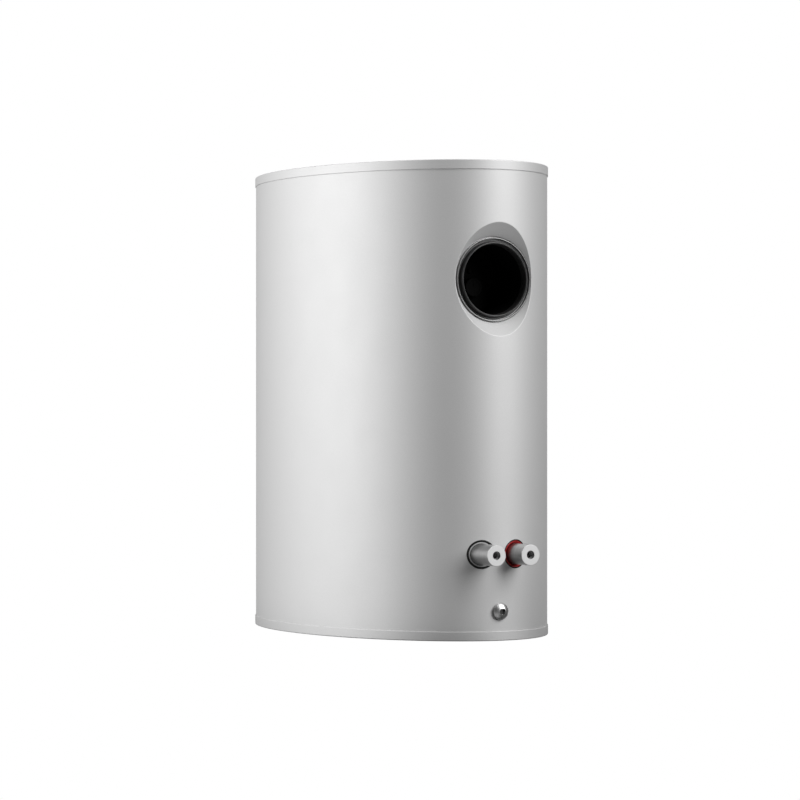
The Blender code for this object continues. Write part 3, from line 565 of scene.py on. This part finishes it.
class Jacket:
    """The pressed sheet: an oval wall whose grid is opened for each hole, with rings round it."""

    def __init__(self):
        self.points = []
        self.normals = []
        self.faces = []

    def point(self, place, normal):
        self.points.append(Vector(place))
        self.normals.append(Vector(normal).normalized())
        return len(self.points) - 1

    def on_wall(self, x, z, side):
        """A point of the wall over (x, z). side is -1 at the connection end and 1 at the far end."""
        h = wall_height(x)
        return self.point((x, side * h, z), (x / HALF_WIDE**2, side * h / HALF_LONG**2, 0.0))

    def strip(self, outer, inner):
        count = len(outer)
        for k in range(count):
            after = (k + 1) % count
            self.faces.append((outer[k], outer[after], inner[after], inner[k]))

    def grid(self, rows, patches):
        """The wall, left open at the patches. Returns each patch's border, in order round it."""
        index = [[self.point(wall_point(t, z), wall_normal(t)) for t in COLUMNS] for z in rows]
        count = len(COLUMNS)

        def inside(patch, t, z):
            t_low, t_high, z_low, z_high = patch
            return t_low < t < t_high and z_low < z < z_high

        for j in range(len(rows) - 1):
            for i in range(count):
                t_mid = COLUMNS[i] + 1e-4
                z_mid = (rows[j] + rows[j + 1]) / 2
                if any(inside(patch, t_mid, z_mid) for patch in patches):
                    continue
                after = (i + 1) % count
                low, high = index[j], index[j + 1]
                self.faces.append((low[i], low[after], high[after], high[i]))
        borders = []
        for t_low, t_high, z_low, z_high in patches:
            across = [i for i, t in enumerate(COLUMNS) if t_low - 1e-6 < t < t_high + 1e-6]
            up = [j for j, z in enumerate(rows) if z_low - 1e-6 < z < z_high + 1e-6]
            border = [index[up[0]][i] for i in across[:-1]]
            border += [index[j][across[-1]] for j in up[:-1]]
            border += [index[up[-1]][i] for i in reversed(across[1:])]
            border += [index[j][across[0]] for j in reversed(up[1:])]
            borders.append(border)
        return borders

    def hole(self, border, x, z, side, radius_at, rings):
        """Rings from a patch's border in to a hole of radius_at(angle).

        Returns each point's angle round the hole, and the last ring.
        """
        angles = []
        for i in border:
            place = self.points[i]
            angles.append(math.atan2(place.z - z, place.x - x))
        outer = border
        for k in range(1, rings + 1):
            share = k / rings
            share = share * (2 - share)  # closer together near the hole
            ring = []
            for i, angle in zip(border, angles):
                place = self.points[i]
                reach = radius_at(angle)
                run_x = x + reach * math.cos(angle) - place.x
                run_z = z + reach * math.sin(angle) - place.z
                ring.append(self.on_wall(place.x + run_x * share, place.z + run_z * share, side))
            self.strip(outer, ring)
            outer = ring
        return angles, outer

    def recess(self, angles, outer):
        """From the wall over the rounded edge, down the cone, across the floor's groove."""
        sections = [self.section(angle, start) for angle, start in zip(angles, outer)]
        for level in zip(*sections):
            ring = []
            for angle, (place, normal) in zip(angles, level):
                x, up = place.x * math.cos(angle), place.x * math.sin(angle)
                ring.append(self.point((x, -place.y, PORT_Z + up), normal))
            self.strip(outer, ring)
            outer = ring

    def section(self, angle, start, round_steps=5, cone_steps=6):
        """The recess cut at that angle, as ((radius, height), normal) from the wall's point start."""
        edge_r, edge_h = recess_edge(angle)
        corner = Vector((edge_r, edge_h))
        floor = Vector((FLOOR_R, FLOOR_H))
        down = floor - corner
        run = round_run(down.length)
        foot = corner + down.normalized() * run
        rim = Vector((edge_r + wall_run(angle, run), 0.0))
        rim.y = wall_height(rim.x * math.cos(angle))
        wall_n = self.normals[start]
        cone_n = Vector((-math.cos(angle), -RECESS_SLOPE, -math.sin(angle))).normalized()
        made = []
        for k in range(1, round_steps + 1):
            u = k / round_steps
            place = rim * (1 - u) ** 2 + corner * 2 * u * (1 - u) + foot * u**2
            made.append((place, wall_n.lerp(cone_n, u)))
        for k in range(1, cone_steps + 1):
            made.append((foot.lerp(floor, k / cone_steps), cone_n))
        inward = Vector((-math.cos(angle), 0.0, -math.sin(angle)))
        out = Vector((0.0, -1.0, 0.0))
        groove_h = FLOOR_H - GROOVE_DEEP
        made.append((Vector((FLOOR_R - 0.00015, FLOOR_H - 0.00030)), cone_n.lerp(inward, 0.7)))
        made.append((Vector((FLOOR_R - 0.00020, groove_h)), inward))
        made.append((Vector((FLOOR_R - 0.00050, groove_h - 0.0002)), out))
        made.append((Vector((COLLAR_HIGH.x + 0.0003, groove_h - 0.0002)), out))
        return made

    def make(self):
        """Closes the sheet with its inner side, and keeps the surface's own normals."""
        count = len(self.points)
        inner = [p - n * SHEET for p, n in zip(self.points, self.normals)]
        edges = dict.fromkeys(pair for face in self.faces for pair in zip(face, face[1:] + face[:1]))
        rims = [(a, b) for a, b in edges if (b, a) not in edges]
        faces = list(self.faces)
        faces += [tuple(i + count for i in reversed(face)) for face in self.faces]
        faces += [(b, a, a + count, b + count) for a, b in rims]
        mesh = bpy.data.meshes.new("casing_jacket")
        mesh.from_pydata([*self.points, *inner], [], faces)
        mesh.shade_smooth()
        loops = []  # one normal for each corner of each face
        for polygon in mesh.polygons:
            if polygon.index >= 2 * len(self.faces):  # the sheet's cut edges, which are flat
                loops += [polygon.normal.copy()] * polygon.loop_total
                continue
            for i in polygon.vertices:
                loops.append(self.normals[i] if i < count else -self.normals[i - count])
        mesh.normals_split_custom_set(loops)
        piece = bpy.data.objects.new("casing_jacket", mesh)
        seat(piece, "silver_paint", "heater", ("casing_wrap", "recess_dish"))


def make_jacket():
    jacket = Jacket()
    port_rows = (PORT_Z - PORT_PATCH, PORT_Z + PORT_PATCH)
    stub_rows = (STUB_Z - STUB_PATCH_Z, STUB_Z + STUB_PATCH_Z)
    drain_rows = (DRAIN_Z - DRAIN_PATCH, DRAIN_Z + DRAIN_PATCH)
    gland_rows = (drain_rows[1], GLAND_Z + GLAND_PATCH)
    stops = [CASING_LOW.z, *drain_rows, stub_rows[0], gland_rows[1], stub_rows[1]]
    rows = filled(stops, FINE_ROW)
    rows += filled([stub_rows[1], port_rows[0]], MIDDLE_ROW)[1:]
    rows += filled(port_rows, FINE_ROW)[1:]
    rows += filled([port_rows[1], CASING_HIGH.z], UPPER_ROW)[1:]
    port_t = math.asin(PORT_PATCH / HALF_WIDE)
    stub_t = math.asin(STUB_PATCH_X / HALF_WIDE)
    drain_t = math.asin(DRAIN_PATCH / HALF_WIDE)
    gland_t = math.asin(GLAND_PATCH / HALF_WIDE)
    port, cold, hot, drain, gland = jacket.grid(
        rows,
        [
            (-port_t, port_t, *port_rows),
            (-stub_t, 0.0, *stub_rows),
            (0.0, stub_t, *stub_rows),
            (-drain_t, drain_t, *drain_rows),
            (math.pi - gland_t, math.pi + gland_t, *gland_rows),
        ],
    )

    def recess_rim(angle):
        edge_r, edge_h = recess_edge(angle)
        down = Vector((edge_r - FLOOR_R, edge_h - FLOOR_H)).length
        return edge_r + wall_run(angle, round_run(down))

    angles, ring = jacket.hole(port, 0.0, PORT_Z, -1, recess_rim, 8)
    jacket.recess(angles, ring)
    for border, x in ((cold, -STUB_X), (hot, STUB_X)):
        jacket.hole(border, x, STUB_Z, -1, lambda angle: GROMMET_R + 0.0002, 4)
    jacket.hole(drain, 0.0, DRAIN_Z, -1, lambda angle: DRAIN_HOLE_R, 3)
    jacket.hole(gland, 0.0, GLAND_Z, 1, lambda angle: GLAND_HOLE_R, 3)
    jacket.make()


# ---------------------------------------------------------------- lid and pan
def make_shell(name, face, edge, inner, replaced):
    """A flat cap with a turned rim. face is its outer face, inner the other side, edge the rim's end."""
    proud = LID_HIGH.x - HALF_WIDE
    middle_in = -0.030  # the first and last rings stand this far in from the wall, and are filled
    profile = rounded(
        [
            (middle_in, face, 0.0),
            (proud, face, 0.0009),
            (proud, edge, 0.00035),
            (proud - SHEET, edge, 0.0002),
            (proud - SHEET, inner, 0.0),
            (middle_in, inner, 0.0),
        ],
        closed=False,
        steps=6,
    )
    oval_rings(name, profile, "silver_paint", replaced)


def make_lid_and_pan():
    thick = 0.0009
    make_shell("lid_shell", LID_HIGH.z, LID_LOW.z, LID_HIGH.z - thick, ("top_lid",))
    make_shell("pan_shell", PAN_LOW.z, PAN_HIGH.z, PAN_LOW.z + thick, ("base_pan",))


# ---------------------------------------------------------------- port
def make_port():
    place = front_place(0.0, PORT_Z)
    outer = TRIM_HIGH.x
    inner = outer - TRIM_WIDE
    base, top = FLOOR_H - GROOVE_DEEP, -TRIM_LOW.y
    crown = 0.00068  # fillet of just under half the width, so the ring is half round
    turned(
        "port_trim_ring",
        [(inner, base, 0.0), (inner, top, crown), (outer, top, crown), (outer, base, 0.0)],
        place,
        "satin_steel",
        "heater",
        ("trim_ring",),
        steps=160,
    )
    lip_out = COLLAR_HIGH.x - 0.0017
    lip_top = -COLLAR_LOW.y
    back = -COLLAR_HIGH.y
    brim = FLOOR_H - 0.0010  # top of the brim round the lip's foot
    brim_low = brim - 0.0030
    turned(
        "port_lip",
        [
            (HOLE_R, back, 0.0),
            (HOLE_R, lip_top - 0.0052, 0.0020),
            (HOLE_R + 0.0004, lip_top - 0.0014, 0.0020),
            (HOLE_R + 0.0011, lip_top, 0.0009),
            (lip_out - 0.0009, lip_top - 0.0002, 0.0009),
            (lip_out, brim, 0.0002),
            (COLLAR_HIGH.x, brim, 0.0003),
            (COLLAR_HIGH.x, brim_low, 0.0),
            (lip_out, brim_low, 0.0),
            (lip_out, back, 0.0),
        ],
        place,
        "collar_plastic",
        "heater",
        ("port_collar",),
        steps=160,
        arc=7,
    )
    far, near = -SLEEVE_HIGH.y, -SLEEVE_LOW.y
    turned(
        "well_lining",
        [
            (HOLE_R, far, 0.0),
            (HOLE_R, near, 0.0003),
            (SLEEVE_HIGH.x, near, 0.0003),
            (SLEEVE_HIGH.x, far, 0.0),
        ],
        place,
        "black_plastic",
        "heater",
        ("well_sleeve",),
        steps=128,
    )


# ---------------------------------------------------------------- stubs and their seals
def conforming_ring(name, x, profile, slot, replaced, steps=96):
    """A ring round a stub that follows the curved wall. Its heights are over the wall."""
    work = bmesh.new()
    rings = []
    for radius, lift in rounded(profile, steps=4):
        ring = []
        for k in range(steps):
            reach = spoke(radius, lift, k, steps)
            at_x = x + reach.x
            ring.append(work.verts.new((at_x, -wall_height(at_x) - lift, STUB_Z + reach.y)))
        rings.append(ring)
    join(work, zip(rings, rings[1:] + rings[:1]))
    finish_mesh(name, work, slot, "heater", replaced, 40.0)


def make_stubs():
    tail, face = -STUB_HIGH.y, -STUB_LOW.y
    step = face - STUB_MOUTH_DEEP
    bead_low, ring_low = -0.0060, -0.0070  # both reach in past the sheet
    for side, x, ring_out, land, slot in (
        ("cold", -STUB_X, GREY_RING_OUT, GREY_RING_LAND, "grey_plastic"),
        ("hot", STUB_X, RED_RING_OUT, RED_RING_LAND, "red_plastic"),
    ):
        place = front_place(x, STUB_Z)
        turned(
            f"{side}_pipe_stub",
            [
                (STUB_R, tail, 0.0),
                (STUB_R, face, 0.0005),
                (STUB_MOUTH_R, face, 0.0003),
                (STUB_MOUTH_R, step, 0.0002),
                (STUB_BORE_R, step, 0.0002),
                (STUB_BORE_R, tail, 0.0),
            ],
            place,
            "stub_metal",
            "heater",
            (f"{side}_stub",),
        )
        conforming_ring(
            f"{side}_grommet_bead",
            x,
            [
                (GROMMET_R, 0.0003, 0.0003),
                (GROMMET_R, bead_low, 0.0),
                (ring_out, bead_low, 0.0),
                (ring_out, 0.0003, 0.0003),
            ],
            "black_rubber",
            (f"{side}_grommet",),
        )
        conforming_ring(
            f"{side}_colour_ring",
            x,
            [
                (ring_out - 0.0002, -0.0003, 0.0003),
                (ring_out - 0.0002, ring_low, 0.0),
                (STUB_R + 0.0003, ring_low, 0.0),
                (STUB_R + 0.0003, -0.0024, 0.0003),
                (ring_out - land, -0.0004, 0.0004),
            ],
            slot,
            (f"{side}_ring",),
        )


# ---------------------------------------------------------------- drain screw
def make_drain():
    place = front_place(0.0, DRAIN_Z)
    low, high = -SEAL_HIGH.y, -SEAL_LOW.y
    bore, seal_r = 0.0053, SEAL_HIGH.x
    turned(
        "drain_washer",
        [(bore, low, 0.0), (bore, high, 0.0), (seal_r, high, 0.0005), (seal_r, low, 0.0003)],
        place,
        "black_rubber",
        "seal",
        ("drain_seal",),
        steps=64,
    )
    tip, crown = -SCREW_HIGH.y, -SCREW_LOW.y
    head_r = SCREW_HIGH.x
    base = high + 0.0003  # underside of the head
    rise = crown - base - BROW
    dome_r = (head_r**2 + rise**2) / (2 * rise)
    dome_steps = 18
    spread = math.asin(head_r / dome_r)
    profile = []
    for k in range(dome_steps + 1):
        angle = spread * k / dome_steps
        profile.append((dome_r * math.sin(angle), crown - dome_r * (1 - math.cos(angle))))
    profile += [(head_r, base + 0.0003), (head_r - 0.0003, base), (SHANK_R, base)]
    turns = int((base - tip - 0.002) / THREAD_PITCH)
    for k in range(turns):
        top = base - 0.0012 - k * THREAD_PITCH
        crest, root = top - THREAD_PITCH * 0.15, top - THREAD_PITCH * 0.55
        profile += [(SHANK_R, top), (SHANK_R, crest), (SHANK_R - THREAD_DEEP, root)]
    profile += [(SHANK_R - 0.0008, tip + 0.0006), (SHANK_R - 0.0014, tip), (0.0, tip)]
    screw = turned(
        "drain_plug_screw",
        [(r, h, 0.0) for r, h in reversed(profile)],
        place,
        "screw_steel",
        "drain_screw",
        ("drain_screw",),
        closed=False,
    )
    corner_r = HEX_SOCKET / math.sqrt(3)
    twist = math.radians(12)
    cut(screw, prism(place, corner_r, crown - SOCKET_DEEP, crown + 0.01, 6, twist))


# ---------------------------------------------------------------- head cover, knob and button in the well
def make_controls():
    place = front_place(0.0, PORT_Z)
    front, back = -COVER_LOW.y, -COVER_HIGH.y
    radius = COVER_HIGH.x
    inner_r, inner_h = radius - COVER_WALL, front - COVER_WALL
    groove_h = front - 0.0005  # a shallow groove runs round the face
    cover = turned(
        "control_cover",
        [
            (0.0, inner_h, 0.0),
            (inner_r, inner_h, 0.0006),
            (inner_r, back, 0.0),
            (radius, back, 0.0003),
            (radius, front - 0.0004, 0.0012),
            (radius - 0.0040, front, 0.0006),
            (radius - 0.0046, groove_h, 0.0003),
            (radius - 0.0062, groove_h, 0.0003),
            (radius - 0.0066, front, 0.0003),
            (0.0, front, 0.0),
        ],
        place,
        "black_plastic",
        "heater",
        ("head_cover",),
        closed=False,
    )
    knob_place = front_place(0.0, middle("thermostat_knob").z)
    button_place = front_place(0.0, middle("reset_button").z)
    for hole in (knob_place, button_place):
        cut(cover, prism(hole, COVER_HOLE_R, front - 0.005, front + 0.005, 32))
    make_knob(knob_place, front)
    make_button(button_place)


def make_knob(place, cover_front):
    """A fluted grip on a skirt, with a raised pointer."""
    base, top = cover_front + 0.0003, -KNOB_LOW.y
    radius = KNOB_HIGH.x
    face_r, face_h = radius * 0.62, top - 0.0006  # the sunk middle of the grip
    end = -KNOB_HIGH.y
    steps = KNOB_FLUTES * 10
    profile = rounded(
        [
            (0.0, face_h, 0.0),
            (face_r, face_h, 0.0003),
            (radius * 0.68, top, 0.0004),
            (radius * 0.84, top, 0.0006),
            (radius * 0.86, base + 0.0026, 0.0005),
            (radius, base + 0.0016, 0.0004),
            (radius, base, 0.0002),
            (KNOB_SPINDLE_R, base, 0.0),
            (KNOB_SPINDLE_R, end, 0.0003),
            (0.0, end, 0.0),
        ],
        closed=False,
        steps=4,
    )
    work = bmesh.new()
    rings = []
    for r, h in profile:
        if r < TINY:
            rings.append([work.verts.new(place @ Vector((0.0, 0.0, h)))] * steps)
            continue
        grip = radius * 0.66 < r < radius * 0.90 and h > base + 0.0024
        ring = []
        for k in range(steps):
            wave = 0.5 - 0.5 * math.cos(KNOB_FLUTES * math.tau * k / steps)
            reach = r - FLUTE_DEEP * wave if grip else r
            ring.append(work.verts.new(place @ spoke(reach, h, k, steps)))
        rings.append(ring)
    join(work, zip(rings, rings[1:]))
    knob = finish_mesh("temperature_knob", work, "black_plastic", "knob", ("thermostat_knob",))
    even_normals(knob)
    pointer = bmesh.new()
    bmesh.ops.create_cube(pointer, size=1.0)
    low = Vector((-0.0007, 0.0012, top - 0.0008))
    high = Vector((0.0007, face_r, top - 0.0002))
    bmesh.ops.scale(pointer, vec=high - low, verts=pointer.verts)
    bmesh.ops.translate(pointer, vec=(high + low) / 2, verts=pointer.verts)
    bmesh.ops.bevel(
        pointer, geom=pointer.edges[:], offset=0.0002, segments=2, affect="EDGES", profile=0.5
    )
    bmesh.ops.transform(pointer, matrix=place, verts=pointer.verts)
    finish_mesh("knob_pointer", pointer, "black_plastic", "knob")


def make_button(place):
    end, top = -BUTTON_HIGH.y, -BUTTON_LOW.y
    radius = BUTTON_HIGH.x
    turned(
        "reset_plunger",
        [
            (0.0, end, 0.0),
            (radius, end, 0.0003),
            (radius, top - 0.0004, 0.0006),
            (radius * 0.6, top, 0.0005),
            (0.0, top - 0.0003, 0.0),
        ],
        place,
        "black_plastic",
        "button",
        ("reset_button",),
        closed=False,
        steps=48,
    )


# ---------------------------------------------------------------- cable gland
def make_gland():
    place = rear_place(0.0, GLAND_Z)
    corner_r = GLAND_FLATS / math.sqrt(3)
    hexagon = prism(place, corner_r, HALF_LONG + 0.0003, GLAND_HIGH.y, 6)
    finish_mesh("gland_hexagon", hexagon, "gland_plastic", "heater", ("gland_body",))
    low, high = NUT_LOW.y, NUT_HIGH.y
    radius = NUT_HIGH.x
    turned(
        "gland_dome_nut",
        [
            (GLAND_BORE, low, 0.0),
            (GLAND_BORE, high, 0.0008),
            (radius * 0.62, high, 0.0016),
            (radius * 0.88, high - 0.0040, 0.0030),
            (radius, low + 0.0075, 0.0015),
            (radius, low, 0.0005),
        ],
        place,
        "gland_plastic",
        "heater",
        ("gland_nut",),
    )


# ---------------------------------------------------------------- carried-over parts
def finish_cad_nodes():
    slots = {row["node"]: row["material_slot"] for row in frame["record"]["subparts"]}
    for name, node in frame["nodes"].items():
        node.data.materials.clear()
        slot = "blackened_steel" if name.startswith("cover_screw") else slots[name]
        node.data.materials.append(MATERIALS[slot])


# ---------------------------------------------------------------- camera, light, floor
def add_camera():
    """A level camera in front, gone round towards -X, and framed by its lens shift."""
    azimuth = math.radians(-27.87)
    distance, aside, height = 3.436, 0.0024, 0.2307
    look = Vector((-math.sin(azimuth), math.cos(azimuth), 0.0))
    right = Vector((look.y, -look.x, 0.0))
    data = bpy.data.cameras.new("camera")
    data.lens = 146.25
    data.sensor_width = 36.0
    data.shift_x = -0.00055
    data.shift_y = 0.0120
    data.clip_start = 0.05
    data.clip_end = 60.0
    camera = bpy.data.objects.new("camera", data)
    camera.location = right * aside - look * distance + Vector((0.0, 0.0, height))
    camera.rotation_euler = (math.radians(90), 0.0, azimuth)
    bpy.context.scene.collection.objects.link(camera)
    bpy.context.scene.camera = camera


def softbox(name, azimuth, distance, height, width, tall, power):
    """A softbox aimed at the heater's middle, at that azimuth: 0 in front and 90 towards +X."""
    turn = math.radians(azimuth)
    data = bpy.data.lights.new(name, "AREA")
    data.shape = "RECTANGLE"
    data.size = width
    data.size_y = tall
    data.energy = power
    light = bpy.data.objects.new(name, data)
    light.location = (distance * math.sin(turn), -distance * math.cos(turn), height)
    aim = Vector((0.0, 0.0, 0.24)) - light.location
    light.rotation_euler = aim.to_track_quat("-Z", "Y").to_euler()
    bpy.context.scene.collection.objects.link(light)


def add_light():
    softbox("left_softbox", -111.2, 2.2, 0.82, 1.34, 2.11, 45.4)
    softbox("right_softbox", 29.6, 2.2, 1.50, 1.32, 2.20, 54.5)
    softbox("top_softbox", 162.4, 1.0, 3.16, 1.52, 0.65, 10.0)
    add_world()


def add_world():
    """White to the camera. To everything else, a dim room over bright paper, with a pale ceiling."""
    world = bpy.data.worlds.new("studio")
    bpy.context.scene.world = world
    world.use_nodes = True
    tree = world.node_tree
    background = tree.nodes["Background"]
    way = tree.nodes.new("ShaderNodeTexCoord")
    parts = tree.nodes.new("ShaderNodeSeparateXYZ")
    span = tree.nodes.new("ShaderNodeMapRange")
    span.inputs["From Min"].default_value = -1.0
    sky = tree.nodes.new("ShaderNodeValToRGB")
    stops = sky.color_ramp.elements
    stops[0].color = (*grey(0.64), 1.0)  # the paper, straight down
    stops[1].color = (*grey(0.8), 1.0)  # the ceiling, straight up
    for position in (0.5, 0.8):  # the room, from the horizon up
        stops.new(position).color = (*grey(0.022), 1.0)
    tree.links.new(way.outputs["Generated"], parts.inputs["Vector"])
    tree.links.new(parts.outputs["Z"], span.inputs["Value"])
    tree.links.new(span.outputs["Result"], sky.inputs["Fac"])
    tree.links.new(sky.outputs["Color"], background.inputs["Color"])
    seen = tree.nodes.new("ShaderNodeBackground")
    seen.inputs["Color"].default_value = (*grey(1.0), 1.0)
    path = tree.nodes.new("ShaderNodeLightPath")
    mix = tree.nodes.new("ShaderNodeMixShader")
    tree.links.new(path.outputs["Is Camera Ray"], mix.inputs[0])
    tree.links.new(background.outputs["Background"], mix.inputs[1])
    tree.links.new(seen.outputs["Background"], mix.inputs[2])
    tree.links.new(mix.outputs["Shader"], tree.nodes["World Output"].inputs["Surface"])


def disc(name, radius, z):
    """A flat stage piece at that height."""
    work = bmesh.new()
    bmesh.ops.create_circle(work, cap_ends=True, segments=96, radius=radius)
    mesh = bpy.data.meshes.new(name)
    work.to_mesh(mesh)
    work.free()
    made = bpy.data.objects.new(name, mesh)
    made.location.z = z
    bpy.context.scene.collection.objects.link(made)
    return made


def add_floor_shade():
    """Two painted shadows: dark patches, hidden from the camera, where the heater shades the white paper.
    """
    # painted shadow: a dark colour standing for the shade on the paper
    painted_shadow = Finish("painted_floor_shadow", 0.0, 0.9, 0.1)
    painted_shadow.colours(painted_shadow.noise(30.0, 2.0), grey(0.04), grey(0.06))
    cast = disc("cast_shade", CAST_SHADE_R, PAN_LOW.z - 0.0010)
    cast.location.x, cast.location.y = CAST_SHADE_AT
    contact = disc("contact_shade", 1.0, PAN_LOW.z - 0.0008)
    contact.scale = (HALF_WIDE + CONTACT_SHADE, HALF_LONG + CONTACT_SHADE, 1.0)
    for shade in (cast, contact):
        shade.data.materials.append(painted_shadow.material)
        shade.visible_camera = False


bpy.context.scene.view_settings.view_transform = "Standard"
add_camera()
add_light()
add_floor_shade()
finish_cad_nodes()
make_jacket()
make_lid_and_pan()
make_port()
make_stubs()
make_drain()
make_controls()
make_gland()
